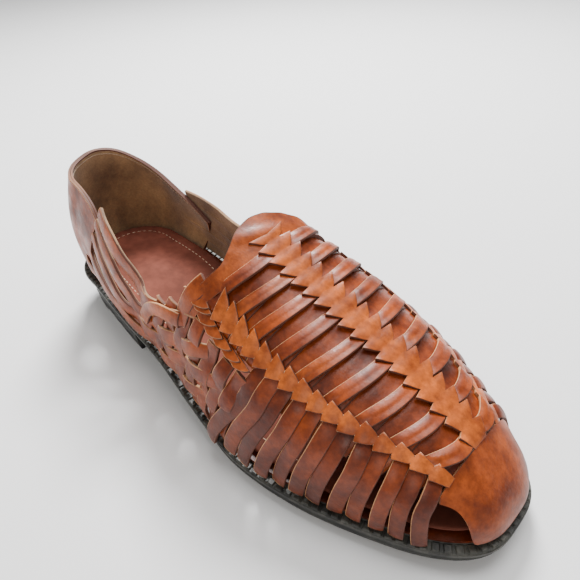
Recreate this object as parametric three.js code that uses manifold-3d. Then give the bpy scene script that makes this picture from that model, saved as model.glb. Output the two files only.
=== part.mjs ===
// Huarache sandal for the right foot: a woven leather upper on a welted rubber sole with a low stacked heel.
// Millimetres. X runs from heel to toe, Y towards the inner (medial) side, Z up, floor at Z = 0.
// The origin is the middle of the heel's tread.
import * as THREE from "three";
import Module from "manifold-3d";

const wasm = await Module();
wasm.setup();

// Last and sole, one row for each cross-section from the heel's centre to the toe's centre
const SECTIONS = [
  { x: 0, lateral: 36, medial: 35.5, welt: 28, tread: 19.5, ridgeY: 0, ridgeZ: 130 },
  { x: 40, lateral: 42.5, medial: 34, welt: 26.8, tread: 18.4, ridgeY: 0.5, ridgeZ: 125 },
  { x: 80, lateral: 46.3, medial: 29.5, welt: 21, tread: 12.5, ridgeY: 1, ridgeZ: 115.5 },
  { x: 115, lateral: 52.3, medial: 38, welt: 14.5, tread: 5, ridgeY: 1.2, ridgeZ: 98 },
  { x: 145, lateral: 57, medial: 49, welt: 11.2, tread: 0, ridgeY: 2, ridgeZ: 81 },
  { x: 165, lateral: 56.8, medial: 52.5, welt: 10.5, tread: 0, ridgeY: 2.4, ridgeZ: 71 },
  { x: 185, lateral: 54, medial: 51.5, welt: 10.8, tread: 0, ridgeY: 2, ridgeZ: 61.5 },
  { x: 200, lateral: 50.3, medial: 48, welt: 10.8, tread: 0, ridgeY: 1, ridgeZ: 55.5 },
  { x: 215, lateral: 45.6, medial: 42.5, welt: 10.8, tread: 0, ridgeY: -0.5, ridgeZ: 48.2 },
  { x: 260, lateral: 30.6, medial: 24, welt: 10.8, tread: 0, ridgeY: -4, ridgeZ: 28.5 },
];
const TOE_X = 215;
const TOE_RADIUS = 45;
const TOE_POWER = 0.6;
const TOE_TURN = 66;
const TOE_TIP_X = TOE_X + TOE_RADIUS;
const SPRING_X = 185;
const SPRING_WELT = 3;
const SPRING_TREAD = 5;
const HEEL_RADIUS = 36;
const HEEL_TURN = 60;
const SIDE_POWER = 0.85;
const CROWN_POWER = 0.8;

// Sole
const GAP = 0.3;
const WELT_THICK = 3;
const WELT_WIDTH = 12;
const NOTCH_DEPTH = 1.3;
const NOTCH_PITCH = 6.8;
const SOLE_INSET = 1.4;
const TREAD_INSET = 3.2;
const FILLER_RISE = 1.5;
const HEEL_BREAST_X = 47;
const HEEL_TAPER = 2.5;
const INSOLE_THICK = 3;
const FINE_STEP = 9;

// Upper
const FEATHER = 5;
const LEATHER = 2;
const RAISED = 1.4;
const MARGIN_WIDTH = 6.5;
const MARGIN_THICK = 1.2;

const LEATHER_BROWN = new THREE.MeshStandardMaterial({ color: 0x9a5a3c, roughness: 0.4, metalness: 0 });
const INSOLE_BROWN = new THREE.MeshStandardMaterial({ color: 0x784637, roughness: 0.6, metalness: 0 });
const SOLE_BLACK = new THREE.MeshStandardMaterial({ color: 0x32322d, roughness: 0.75, metalness: 0 });
const WELT_BLACK = new THREE.MeshStandardMaterial({ color: 0x3a3a34, roughness: 0.6, metalness: 0 });

const HALF_TURN = Math.PI / 2;
const clamp = THREE.MathUtils.clamp;
const lerp = THREE.MathUtils.lerp;

// Value of one column at x: a smooth curve through the table's rows
function section(column, x) {
  const rows = SECTIONS;
  const last = rows.length - 1;
  const at = clamp(x, rows[0].x, rows[last].x);
  let i = 0;
  while (i < last - 1 && at > rows[i + 1].x) i += 1;
  const slope = (k) => {
    const a = rows[Math.max(k - 1, 0)];
    const b = rows[Math.min(k + 1, last)];
    return (b[column] - a[column]) / (b.x - a.x);
  };
  const span = rows[i + 1].x - rows[i].x;
  const t = (at - rows[i].x) / span;
  return rows[i][column] * (2 * t ** 3 - 3 * t ** 2 + 1)
    + span * slope(i) * (t ** 3 - 2 * t ** 2 + t)
    + rows[i + 1][column] * (3 * t ** 2 - 2 * t ** 3)
    + span * slope(i + 1) * (t ** 3 - t ** 2);
}

// Point on the sole's outline, moved in by inset. Station s is x along the foot;
// below 0 it turns round the heel and past TOE_X it turns round the toe. Side is -1 lateral, 1 medial.
function outline(s, side, inset) {
  const heelTurn = clamp(-s / HEEL_TURN, 0, 1) * HALF_TURN;
  const toeTurn = clamp((s - TOE_X) / TOE_TURN, 0, 1) * HALF_TURN;
  const x = clamp(s, 0, TOE_X) - (HEEL_RADIUS - inset) * Math.sin(heelTurn)
    + (TOE_RADIUS - inset) * Math.sin(toeTurn) ** TOE_POWER;
  const middle = section("ridgeY", x);
  let y = side * (section(side < 0 ? "lateral" : "medial", x) - inset);
  if (s < 0) y *= Math.max(Math.cos(heelTurn), 0);
  if (s > TOE_X) y = middle + (y - middle) * Math.max(Math.cos(toeTurn), 0) ** TOE_POWER;
  if (s <= -HEEL_TURN + 0.001) y = 0;
  if (s >= TOE_X + TOE_TURN - 0.001) y = middle;
  return new THREE.Vector2(x, y);
}

// Toe spring: how far along the toe x is, squared so that the forefoot stays flat
function toeLift(x) {
  return clamp((x - SPRING_X) / (TOE_TIP_X - SPRING_X), 0, 1) ** 2;
}

function weltTop(x) {
  return section("welt", x) + SPRING_WELT * toeLift(x);
}

function treadZ(x) {
  return Math.max(section("tread", x), 0) + SPRING_TREAD * toeLift(x);
}

function ridgeTop(x) {
  return section("ridgeZ", x);
}

// Point on the last at plan station x; v runs from 0 at the feather edge to 1 on the ridge
function lastPoint(x, side, v) {
  const middle = section("ridgeY", x);
  const half = Math.abs(side * (section(side < 0 ? "lateral" : "medial", x) - FEATHER) - middle);
  const toe = clamp((x - TOE_X) / (TOE_RADIUS - FEATHER), 0, 1);
  const across = Math.max(1 - toe ** (2 / TOE_POWER), 0) ** (TOE_POWER / 2)
    * Math.max(Math.cos(clamp(v, 0, 1) * HALF_TURN), 0) ** SIDE_POWER;
  const reach = (toe ** (2 / TOE_POWER) + across ** (2 / TOE_POWER)) ** (TOE_POWER / 2);
  const turn = Math.min(reach, 1) ** (1 / SIDE_POWER);
  const base = weltTop(x);
  const z = base + (ridgeTop(x) - base) * Math.sqrt(Math.max(1 - turn * turn, 0)) ** CROWN_POWER;
  return new THREE.Vector3(x, middle + side * across * half, z);
}

// Point on the heel's wall at station s and height z
function wallPoint(s, side, z) {
  const base = outline(s, side, FEATHER);
  const foot = weltTop(base.x);
  const crown = ridgeTop(Math.max(s, 0));
  const rise = clamp((z - foot) / (crown - foot), 0, 1) ** (1 / CROWN_POWER);
  const reach = Math.sqrt(1 - rise * rise) ** SIDE_POWER;
  const cx = Math.max(s, 0);
  const cy = s < 0 ? 0 : section("ridgeY", cx);
  return new THREE.Vector3(cx + (base.x - cx) * reach, cy + (base.y - cy) * reach, z);
}

// Point on the toe's dome in fan station s, out from the dome's centre by the fraction reach
function domePoint(s, side, reach) {
  const base = outline(s, side, FEATHER);
  const cy = section("ridgeY", TOE_X);
  const x = TOE_X + (base.x - TOE_X) * reach;
  const turn = Math.min(reach, 1) ** (1 / SIDE_POWER);
  const foot = weltTop(base.x);
  const z = foot + (ridgeTop(x) - foot) * Math.sqrt(Math.max(1 - turn * turn, 0)) ** CROWN_POWER;
  return new THREE.Vector3(x, cy + (base.y - cy) * reach, z);
}

// Closed body from points and triangles: equal points merge, flat triangles go, faces point out
function body(points, triangles) {
  const places = new Map();
  const merged = [];
  const index = points.map((p) => {
    const key = [p.x, p.y, p.z].map((value) => Math.round(value * 1000)).join();
    if (!places.has(key)) {
      places.set(key, merged.length);
      merged.push(p);
    }
    return places.get(key);
  });
  const kept = [];
  let volume = 0;
  for (const [a, b, c] of triangles) {
    const [i, j, k] = [index[a], index[b], index[c]];
    if (i === j || j === k || k === i) continue;
    kept.push([i, j, k]);
    volume += merged[i].dot(merged[j].clone().cross(merged[k]));
  }
  const turned = volume < 0 ? kept.map(([i, j, k]) => [i, k, j]) : kept;
  return new wasm.Manifold(new wasm.Mesh({
    numProp: 3,
    vertProperties: Float32Array.from(merged.flatMap((p) => [p.x, p.y, p.z])),
    triVerts: Uint32Array.from(turned.flat()),
  }));
}

// Body through a row of sections with equally many corners each; a ring has no ends
function loft(sections, ring = false) {
  const corners = sections[0].length;
  const points = sections.flat();
  const triangles = [];
  const spans = ring ? sections.length : sections.length - 1;
  for (let i = 0; i < spans; i += 1) {
    const next = (i + 1) % sections.length;
    for (let j = 0; j < corners; j += 1) {
      const a = i * corners + j;
      const b = i * corners + (j + 1) % corners;
      const c = next * corners + (j + 1) % corners;
      const d = next * corners + j;
      triangles.push([a, b, c], [a, c, d]);
    }
  }
  if (!ring) {
    const end = (sections.length - 1) * corners;
    for (let j = 1; j < corners - 1; j += 1) {
      triangles.push([0, j + 1, j], [end, end + j, end + j + 1]);
    }
  }
  return body(points, triangles);
}

// Stations round the outline from the heel's back to a far end
function stations(last = TOE_X + TOE_TURN, step = 17.5) {
  const list = [];
  for (let s = -HEEL_TURN; s < 0; s += 10) list.push(s);
  for (let s = 0; s < Math.min(TOE_X, last) - 2; s += step) list.push(s);
  if (last <= TOE_X) {
    list.push(last);
    return list;
  }
  for (let i = 0; i <= 9; i += 1) list.push(TOE_X + TOE_TURN * i / 9);
  return list;
}

// Slab under the foot. Profile rows, from the top's middle outwards: inset from the outline, height at x
function slab(list, profile) {
  return loft(list.map((s) => {
    const corner = (side) => profile.map(({ inset, z }) => {
      const p = outline(s, side, inset);
      return new THREE.Vector3(p.x, p.y, z(p.x));
    });
    return [...corner(-1).reverse(), ...corner(1)];
  }));
}

function outsole() {
  const seat = (x) => weltTop(x) - WELT_THICK - GAP;
  return slab(stations(TOE_X + TOE_TURN, FINE_STEP), [
    { inset: WELT_WIDTH + GAP, z: (x) => weltTop(x) + FILLER_RISE },
    { inset: WELT_WIDTH + GAP, z: seat },
    { inset: SOLE_INSET, z: seat },
    { inset: SOLE_INSET, z: (x) => lerp(seat(x), treadZ(x), 0.7) },
    { inset: TREAD_INSET, z: treadZ },
  ]);
}

function heel() {
  return slab(stations(HEEL_BREAST_X), [
    { inset: TREAD_INSET, z: (x) => treadZ(x) - GAP },
    { inset: TREAD_INSET + HEEL_TAPER, z: () => 0 },
  ]);
}

function insole() {
  const rise = FILLER_RISE + GAP;
  return slab(stations(), [
    { inset: FEATHER + LEATHER + 1, z: (x) => weltTop(x) + rise + INSOLE_THICK },
    { inset: FEATHER + LEATHER + GAP, z: (x) => weltTop(x) + rise },
  ]);
}

// Welt: a rim round the whole sole whose outer top edge is notched into blocks
function welt() {
  const start = -HEEL_TURN;
  const span = TOE_X + TOE_TURN - start;
  const sections = [];
  const steps = 2 * Math.round(span * 1.05 / NOTCH_PITCH);
  const half = [];
  for (let i = 0; i <= steps; i += 1) half.push(start + span * i / steps);
  const ringStations = [
    ...half.map((s) => [s, -1]),
    ...half.slice(1, -1).reverse().map((s) => [s, 1]),
  ];
  ringStations.forEach(([s, side], i) => {
    const point = (inset, drop) => {
      const p = outline(s, side, inset);
      return new THREE.Vector3(p.x, p.y, weltTop(p.x) - drop);
    };
    const notch = i % 4 < 2 ? 0 : NOTCH_DEPTH;
    sections.push([
      point(WELT_WIDTH, WELT_THICK),
      point(WELT_WIDTH, 0),
      point(0, notch),
      point(0, WELT_THICK),
    ]);
  });
  return loft(sections, true);
}

// Strip of leather along a row of points on the last. Widths are spread along it; lift and thick may
// be one value or a list with a value for each point.
function strip(points, widths, lift = 0, thick = LEATHER) {
  const valueAt = (list, i) => (Array.isArray(list) ? list[i] : list);
  const spread = Array.isArray(widths) && widths.length !== points.length;
  return loft(points.map((p, i) => {
    const before = points[Math.max(i - 1, 0)];
    const after = points[Math.min(i + 1, points.length - 1)];
    const along = after.at.clone().sub(before.at).normalize();
    const across = new THREE.Vector3().crossVectors(p.out, along).normalize();
    const out = new THREE.Vector3().crossVectors(along, across).normalize();
    const half = (spread ? lerpList(widths, i / (points.length - 1)) : valueAt(widths, i)) / 2;
    const low = valueAt(lift, i);
    const high = low + valueAt(thick, i);
    const corner = (side, height) => p.at.clone()
      .addScaledVector(across, side * half)
      .addScaledVector(out, height);
    return [corner(-1, low), corner(1, low), corner(1, high), corner(-1, high)];
  }));
}

function lerpList(list, t) {
  const place = clamp(t, 0, 1) * (list.length - 1);
  const i = Math.min(Math.floor(place), list.length - 2);
  return lerp(list[i], list[i + 1], place - i);
}

// Surface point with the direction out of the foot, from any function of two values
function framed(surface, a, b) {
  const step = 0.6;
  const at = surface(a, b);
  const alongA = surface(a + step, b).sub(surface(a - step, b));
  const up = b > 0.5 ? -0.002 : 0.002;
  const alongB = surface(a, b + up).sub(surface(a, b)).multiplyScalar(Math.sign(up));
  const out = alongA.cross(alongB).normalize();
  const middle = new THREE.Vector3(at.x, section("ridgeY", at.x), 10);
  if (out.dot(at.clone().sub(middle)) < 0) out.negate();
  return { at, out };
}

const onLast = (x, side, v) => framed((a, b) => lastPoint(a, side, b), x, v);

// Points along a straight course in (x, v) from one end to the other
function course(side, ends, count) {
  const list = [];
  for (let i = 0; i <= count; i += 1) {
    const t = i / count;
    const place = t * (ends.length - 1);
    const k = Math.min(Math.floor(place), ends.length - 2);
    const x = lerp(ends[k].x, ends[k + 1].x, place - k);
    const v = lerp(ends[k].v, ends[k + 1].v, place - k);
    list.push(onLast(x, side, v));
  }
  return list;
}

// Panel with a wall: a grid of framed points, given its thickness outwards
function panel(grid, thick = LEATHER, lift = 0) {
  const rows = grid.length;
  const columns = grid[0].length;
  const layer = (height) => grid.flat().map((p) => p.at.clone().addScaledVector(p.out, height));
  const points = [...layer(lift), ...layer(lift + thick)];
  const top = rows * columns;
  const id = (i, j) => i * columns + j;
  const triangles = [];
  const quad = (a, b, c, d) => triangles.push([a, b, c], [a, c, d]);
  for (let i = 0; i < rows - 1; i += 1) {
    for (let j = 0; j < columns - 1; j += 1) {
      quad(id(i, j), id(i, j + 1), id(i + 1, j + 1), id(i + 1, j));
      quad(top + id(i, j), top + id(i + 1, j), top + id(i + 1, j + 1), top + id(i, j + 1));
    }
  }
  for (let i = 0; i < rows - 1; i += 1) {
    quad(id(i, 0), id(i + 1, 0), top + id(i + 1, 0), top + id(i, 0));
    quad(id(i + 1, columns - 1), id(i, columns - 1), top + id(i, columns - 1), top + id(i + 1, columns - 1));
  }
  for (let j = 0; j < columns - 1; j += 1) {
    quad(id(0, j + 1), id(0, j), top + id(0, j), top + id(0, j + 1));
    quad(id(rows - 1, j), id(rows - 1, j + 1), top + id(rows - 1, j + 1), top + id(rows - 1, j));
  }
  return body(points, triangles);
}

// Lasting margin: the upper's turned-in edge, which lies on the welt and joins every strip's foot
function lastingMargin() {
  const list = stations();
  const ringStations = [
    ...list.map((s) => [s, -1]),
    ...list.slice(1, -1).reverse().map((s) => [s, 1]),
  ];
  return loft(ringStations.map(([s, side]) => {
    const point = (inset, rise) => {
      const p = outline(s, side, inset);
      return new THREE.Vector3(p.x, p.y, weltTop(p.x) + rise);
    };
    const inner = FEATHER + MARGIN_WIDTH;
    const outer = FEATHER - LEATHER / 2;
    return [point(inner, GAP), point(inner, GAP + MARGIN_THICK),
      point(outer, GAP + MARGIN_THICK), point(outer, GAP)];
  }), true);
}

// Counter: the heel's wall. Rows of station, side and rim height, from the lateral front edge round the heel
const COUNTER_RIM = [
  { s: 27, side: -1, rim: 77, lean: -24 },
  { s: 20, side: -1, rim: 83, lean: -14 },
  { s: 8, side: -1, rim: 87, lean: -5 },
  { s: -8, side: -1, rim: 89, lean: 0 },
  { s: -24, side: -1, rim: 90, lean: 0 },
  { s: -42, side: -1, rim: 91, lean: 0 },
  { s: -60, side: -1, rim: 92, lean: 0 },
  { s: -42, side: 1, rim: 89, lean: 0 },
  { s: -24, side: 1, rim: 81, lean: 0 },
  { s: -8, side: 1, rim: 73, lean: 0 },
  { s: 10, side: 1, rim: 66, lean: -2 },
  { s: 26, side: 1, rim: 60, lean: -6 },
  { s: 40, side: 1, rim: 53, lean: -12 },
];
const COUNTER_LEVELS = [0, 0.35, 0.7, 1];

function counter() {
  return panel(COUNTER_RIM.map(({ s, side, rim, lean }) => COUNTER_LEVELS.map((level) => {
    const station = s + (lean < 0 ? lean * (1 - level) : 0);
    const foot = weltTop(outline(station, side, FEATHER).x) + GAP;
    return framed((a, b) => wallPoint(a, side, b), station, lerp(foot, rim, level));
  })));
}

// Toe cap: the dome in front of the strips. Turns count from 0 at the side to 1 at the toe's tip. Its foot
// ends at the cut-out's front corner, and the cut-out's edge runs up from there to the side spine.
const CAP_REAR_X = 237;
const CUT_FRONT_TURN = 0.565;
const CUT_TOP_TURN = 0.28;
const CUT_TOP_REACH = 0.849;
const CUT_POWER = 3;
const CAP_TURNS = [0.28, 0.4, 0.47, 0.52, 0.565, 0.7, 0.85];
const CAP_ROWS = 4;
const CAP_FOOT = 0.998;
const CAP_LEAST = 0.03;
const CAP_SPACING = 1.6;

function toeCap() {
  const turns = [...CAP_TURNS.map((t) => [t, -1]), [1, 1], ...CAP_TURNS.map((t) => [t, 1]).reverse()];
  return panel(turns.map(([turn, side]) => {
    const s = TOE_X + TOE_TURN * turn;
    const rear = (CAP_REAR_X - TOE_X) / (outline(s, side, FEATHER).x - TOE_X);
    const cut = clamp((turn - CUT_TOP_TURN) / (CUT_FRONT_TURN - CUT_TOP_TURN), 0, 1);
    const outer = lerp(CUT_TOP_REACH, CAP_FOOT, cut ** CUT_POWER);
    const inner = Math.min(rear, CUT_TOP_REACH - CAP_LEAST);
    const row = [];
    for (let j = 0; j <= CAP_ROWS; j += 1) {
      const share = 1 - (1 - j / CAP_ROWS) ** CAP_SPACING;
      row.push(framed((a, b) => domePoint(a, side, b), s, lerp(inner, outer, share)));
    }
    return row;
  }));
}

// Vamp: the wall between the side spines, whose rear edge is the throat. Rows give the edge at u, which
// runs from -1 at the lateral feather to 1 at the medial one.
const THROAT = [
  { u: -0.46, x: 116 },
  { u: -0.32, x: 118.5 },
  { u: -0.16, x: 116 },
  { u: 0, x: 114.5 },
  { u: 0.16, x: 116 },
  { u: 0.32, x: 118.5 },
  { u: 0.46, x: 116 },
];
const VAMP_FRONT_X = 239;
const VAMP_ROWS = 6;

function vamp() {
  return panel(THROAT.map(({ u, x }) => {
    const row = [];
    for (let i = 0; i <= VAMP_ROWS; i += 1) {
      row.push(onLast(lerp(x, VAMP_FRONT_X, i / VAMP_ROWS), u < 0 ? -1 : 1, 1 - Math.abs(u)));
    }
    return row;
  }));
}

// Raised top strips of the weave on one half of the vamp, counted from the throat
const VAMP_PAIRS = 9;
const VAMP_PITCH = 12.75;
const TOP_STRIP = { ridgeX: 130.2, ridgeV: 0.915, sideX: 123.6, sideV: 0.625, width: 7 };

function vampStrips(side) {
  const solids = [];
  for (let k = 0; k < VAMP_PAIRS; k += 1) {
    const shift = VAMP_PITCH * k;
    const ends = [
      { x: TOP_STRIP.ridgeX + shift, v: TOP_STRIP.ridgeV },
      { x: TOP_STRIP.sideX + shift, v: TOP_STRIP.sideV },
    ];
    solids.push(strip(course(side, ends, 3), TOP_STRIP.width, RAISED));
  }
  return solids;
}

// Side strips from the side spine down to the feather, in pairs with open gaps between
const SIDE_STRIPS = [
  { top: 131, foot: 136.5 }, { top: 141, foot: 146.5 }, { top: 150, foot: 155.5 },
  { top: 160, foot: 166 }, { top: 169, foot: 175 }, { top: 179, foot: 184.5 },
  { top: 187, foot: 193 }, { top: 196, foot: 202 }, { top: 204, foot: 210 },
  { top: 213, foot: 219.5 }, { top: 220, foot: 227 }, { top: 228.5, foot: 234.5 },
];
const SIDE_STRIP_WIDTH = [8, 7.4, 6.6];
const SIDE_STRIP_LIFTS = [0.5, 0];
const SIDE_KNEE = { share: 0.6, v: 0.26 };
const SPINE_V = 0.53;
const FOOT_V = 0.006;

function sideStrips(side) {
  return SIDE_STRIPS.map(({ top, foot }, i) => {
    const knee = { x: lerp(top, foot, SIDE_KNEE.share), v: SIDE_KNEE.v };
    const ends = [{ x: top, v: SPINE_V - 0.02 }, knee, { x: foot, v: FOOT_V }];
    return strip(course(side, ends, 3), SIDE_STRIP_WIDTH, SIDE_STRIP_LIFTS[i % 2]);
  });
}

// Spines: bands whose raised arrowheads lap one another towards the toe
const SPINES = [
  { side: -1, v: [1, 1], from: 121, to: 241, width: 11, first: 131, pitch: 12.75, heads: 9 },
  { side: -1, v: [0.53, 0.6], from: 120, to: 238, width: 8, first: 128, pitch: 11.6, heads: 10 },
  { side: 1, v: [0.53, 0.6], from: 120, to: 238, width: 8, first: 128, pitch: 11.6, heads: 10 },
  { side: -1, v: [0.36, 0.39], from: 106, to: 154, width: 7, first: 113, pitch: 9.4, heads: 4 },
  { side: 1, v: [0.36, 0.39], from: 106, to: 154, width: 7, first: 113, pitch: 9.4, heads: 4 },
];
const SPINE_LIFT = 0.7;
const FLUSH_START = 1.2;
const HEAD_LENGTH = 8.5;
const HEAD_SPREAD = 3;
const HEAD_RISE = 0.9;
const NECK_SHARE = 0.7;

function spine(row) {
  const points = [];
  const widths = [];
  const thick = [];
  const add = (x, width, height) => {
    const v = lerp(row.v[0], row.v[1], (x - row.from) / (row.to - row.from));
    points.push(onLast(x, row.side, v));
    widths.push(width);
    thick.push(height);
  };
  add(row.from, row.width, FLUSH_START);
  for (let k = 0; k < row.heads; k += 1) {
    const x = row.first + row.pitch * k;
    add(x - HEAD_LENGTH / 2, row.width * NECK_SHARE, LEATHER);
    add(x + HEAD_LENGTH / 2, row.width + HEAD_SPREAD, LEATHER + HEAD_RISE);
  }
  add(row.to, row.width, LEATHER);
  return strip(points, widths, SPINE_LIFT, thick);
}

// Straps from the counter to the vamp, each through places given as x and v, and the upright strips that
// they interlace with
const LATERAL_STRAPS = [
  { rows: [[14, 0.3], [34, 0.25], [56, 0.17], [76, 0.18], [96, 0.24], [110, 0.34]], width: 10, lift: 1.6 },
  { rows: [[8, 0.235], [34, 0.185], [62, 0.13], [88, 0.15], [110, 0.23], [128, 0.3]], width: 8.5, lift: 1 },
  { rows: [[2, 0.18], [34, 0.12], [62, 0.085], [90, 0.09], [114, 0.15], [134, 0.2]], width: 8.5, lift: 1.6 },
  { rows: [[1, 0.12], [28, 0.07], [56, 0.045], [86, 0.045], [112, 0.07], [136, 0.1]], width: 8, lift: 1 },
  { rows: [[1, 0.07], [14, 0.055], [38, 0.034], [52, 0.022]], width: 7, lift: 1.6 },
];
const MEDIAL_STRAPS = [
  { rows: [[3, 0.14], [39, 0.165], [54, 0.19], [72, 0.18], [92, 0.215], [110, 0.34]], width: 9, lift: 1.6 },
  { rows: [[3, 0.095], [28, 0.095], [56, 0.12], [84, 0.125], [108, 0.2], [128, 0.3]], width: 8.5, lift: 1 },
  { rows: [[3, 0.058], [28, 0.058], [56, 0.072], [84, 0.078], [112, 0.13], [134, 0.2]], width: 8, lift: 1.6 },
  { rows: [[3, 0.03], [28, 0.032], [56, 0.038], [86, 0.042], [112, 0.06], [136, 0.1]], width: 7, lift: 1 },
];
const UPRIGHTS = [
  { top: 92, topV: 0.26, foot: 84 },
  { top: 103, topV: 0.31, foot: 95 },
  { top: 113, topV: 0.37, foot: 106 },
  { top: 123, topV: 0.38, foot: 116.5 },
  { top: 133, topV: 0.38, foot: 127 },
];
const UPRIGHT_WIDTH = 8;
const UPRIGHT_LIFTS = [1.4, 0.4];
const BRIDGE = { ends: [{ x: 118, v: 0.56 }, { x: 111, v: 0.3 }], width: 9, lift: 0.4 };

function straps(side) {
  const fan = (side < 0 ? LATERAL_STRAPS : MEDIAL_STRAPS).map(({ rows, width, lift }) => {
    const ends = rows.map(([x, v]) => ({ x, v }));
    return strip(course(side, ends, 5), width, lift);
  });
  const uprights = UPRIGHTS.map(({ top, topV, foot }, i) => {
    const ends = [{ x: top, v: topV }, { x: foot, v: FOOT_V }];
    return strip(course(side, ends, 3), UPRIGHT_WIDTH, UPRIGHT_LIFTS[i % 2]);
  });
  return [...fan, ...uprights, strip(course(side, BRIDGE.ends, 2), BRIDGE.width, BRIDGE.lift)];
}

function upper() {
  const solids = [
    lastingMargin(),
    counter(),
    toeCap(),
    vamp(),
    ...SPINES.map(spine),
    ...[-1, 1].flatMap((side) => [...vampStrips(side), ...sideStrips(side), ...straps(side)]),
  ];
  const joined = wasm.Manifold.union(solids);
  const pieces = joined.decompose();
  pieces.sort((a, b) => b.volume() - a.volume());
  return pieces[0];
}

function mesh(name, solid, material) {
  const { vertProperties, triVerts, numProp } = solid.getMesh();
  const geometry = new THREE.BufferGeometry();
  const places = new Float32Array(vertProperties.length / numProp * 3);
  for (let i = 0; i < places.length / 3; i += 1) {
    for (let k = 0; k < 3; k += 1) places[3 * i + k] = vertProperties[numProp * i + k];
  }
  geometry.setAttribute("position", new THREE.BufferAttribute(places, 3));
  geometry.setIndex([...triVerts]);
  geometry.computeVertexNormals();
  const result = new THREE.Mesh(geometry, material);
  result.name = name;
  return result;
}

const sandal = new THREE.Group();
sandal.name = "huarache_sandal";
sandal.add(mesh("outsole", outsole(), SOLE_BLACK));
sandal.add(mesh("heel", heel(), SOLE_BLACK));
sandal.add(mesh("welt", welt(), WELT_BLACK));
sandal.add(mesh("insole", insole(), INSOLE_BROWN));
sandal.add(mesh("upper", upper(), LEATHER_BROWN));

export default sandal;
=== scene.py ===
# Huarache sandal, right foot: its woven leather upper, insole, welt and rubber sole, finished as in use.
# Sizes are in millimetres until a mesh is laid out, which turns them into metres.
import math
import random
import bpy
from mathutils import Matrix, Vector, noise


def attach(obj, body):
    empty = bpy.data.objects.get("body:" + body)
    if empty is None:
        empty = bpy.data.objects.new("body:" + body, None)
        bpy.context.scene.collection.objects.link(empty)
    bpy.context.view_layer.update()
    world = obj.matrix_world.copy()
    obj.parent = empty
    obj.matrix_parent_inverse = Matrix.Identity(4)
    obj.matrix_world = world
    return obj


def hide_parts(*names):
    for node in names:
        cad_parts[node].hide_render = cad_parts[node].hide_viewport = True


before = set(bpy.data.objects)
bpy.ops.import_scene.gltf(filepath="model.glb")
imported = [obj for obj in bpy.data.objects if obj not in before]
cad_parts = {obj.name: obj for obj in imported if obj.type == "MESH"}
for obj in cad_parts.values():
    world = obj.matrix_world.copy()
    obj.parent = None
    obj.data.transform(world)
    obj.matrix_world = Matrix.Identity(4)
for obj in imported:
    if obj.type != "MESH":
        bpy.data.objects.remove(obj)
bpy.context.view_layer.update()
MM = 0.001
random.seed(11)

# Last and sole: one row for each cross-section, with its columns named
COLUMNS = ("x", "lateral", "medial", "welt", "tread", "ridge_y", "ridge_z")
SECTIONS = [
    (0, 36, 35.5, 28, 19.5, 0, 130),
    (40, 42.5, 34, 26.8, 18.4, 0.5, 125),
    (80, 46.3, 29.5, 21, 12.5, 1, 115.5),
    (115, 52.3, 38, 14.5, 5, 1.2, 98),
    (145, 57, 49, 11.2, 0, 2, 81),
    (165, 56.8, 52.5, 10.5, 0, 2.4, 71),
    (185, 54, 51.5, 10.8, 0, 2, 61.5),
    (200, 50.3, 48, 10.8, 0, 1, 55.5),
    (215, 45.6, 42.5, 10.8, 0, -0.5, 48.2),
    (260, 30.6, 24, 10.8, 0, -4, 28.5),
]
TOE_X = 215
TOE_RADIUS = 45
TOE_POWER = 0.6
TOE_TURN = 66
TOE_END = TOE_X + TOE_TURN
TOE_TIP_X = TOE_X + TOE_RADIUS
SPRING_X = 185
SPRING_WELT = 3
SPRING_TREAD = 5
HEEL_RADIUS = 36
HEEL_TURN = 60
SIDE_POWER = 0.85
CROWN_POWER = 0.8
FEATHER = 5


def clamp(value, low, high):
    return max(low, min(high, value))


def mix(a, b, t):
    return a + (b - a) * t


def section(column, x):
    """Value of a named column at x, on a smooth curve through the rows."""
    c = COLUMNS.index(column)
    last = len(SECTIONS) - 1
    at = clamp(x, SECTIONS[0][0], SECTIONS[last][0])
    i = 0
    while i < last - 1 and at > SECTIONS[i + 1][0]:
        i += 1
    return hermite([(row[0], row[c]) for row in SECTIONS], i, at)


def hermite(rows, i, at):
    last = len(rows) - 1

    def slope(k):
        a, b = rows[max(k - 1, 0)], rows[min(k + 1, last)]
        return (b[1] - a[1]) / (b[0] - a[0])

    span = rows[i + 1][0] - rows[i][0]
    t = (at - rows[i][0]) / span
    start = rows[i][1] * (2 * t ** 3 - 3 * t ** 2 + 1) + span * slope(i) * (t ** 3 - 2 * t ** 2 + t)
    end = rows[i + 1][1] * (3 * t ** 2 - 2 * t ** 3) + span * slope(i + 1) * (t ** 3 - t ** 2)
    return start + end


def curve_value(rows, at):
    """Smooth curve through (place, value) rows, held level past its ends."""
    at = clamp(at, rows[0][0], rows[-1][0])
    i = 0
    while i < len(rows) - 2 and at > rows[i + 1][0]:
        i += 1
    return hermite(rows, i, at)


def outline(s, side, inset):
    """Point on the sole's outline. Station s is x, but turns round the heel below 0 and round the toe
    past TOE_X."""
    heel_turn = clamp(-s / HEEL_TURN, 0, 1) * math.pi / 2
    toe_turn = clamp((s - TOE_X) / TOE_TURN, 0, 1) * math.pi / 2
    x = clamp(s, 0, TOE_X) - (HEEL_RADIUS - inset) * math.sin(heel_turn)
    x += (TOE_RADIUS - inset) * math.sin(toe_turn) ** TOE_POWER
    y = side * (section("lateral" if side < 0 else "medial", x) - inset)
    if s < 0:
        y *= max(math.cos(heel_turn), 0)
    if s > TOE_X:
        middle = section("ridge_y", x)
        y = middle + (y - middle) * max(math.cos(toe_turn), 0) ** TOE_POWER
    return x, y


def toe_lift(x):
    return clamp((x - SPRING_X) / (TOE_TIP_X - SPRING_X), 0, 1) ** 2


def welt_top(x):
    return section("welt", x) + SPRING_WELT * toe_lift(x)


def tread_z(x):
    return max(section("tread", x), 0) + SPRING_TREAD * toe_lift(x)


def ridge_top(x):
    return section("ridge_z", x)


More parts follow.
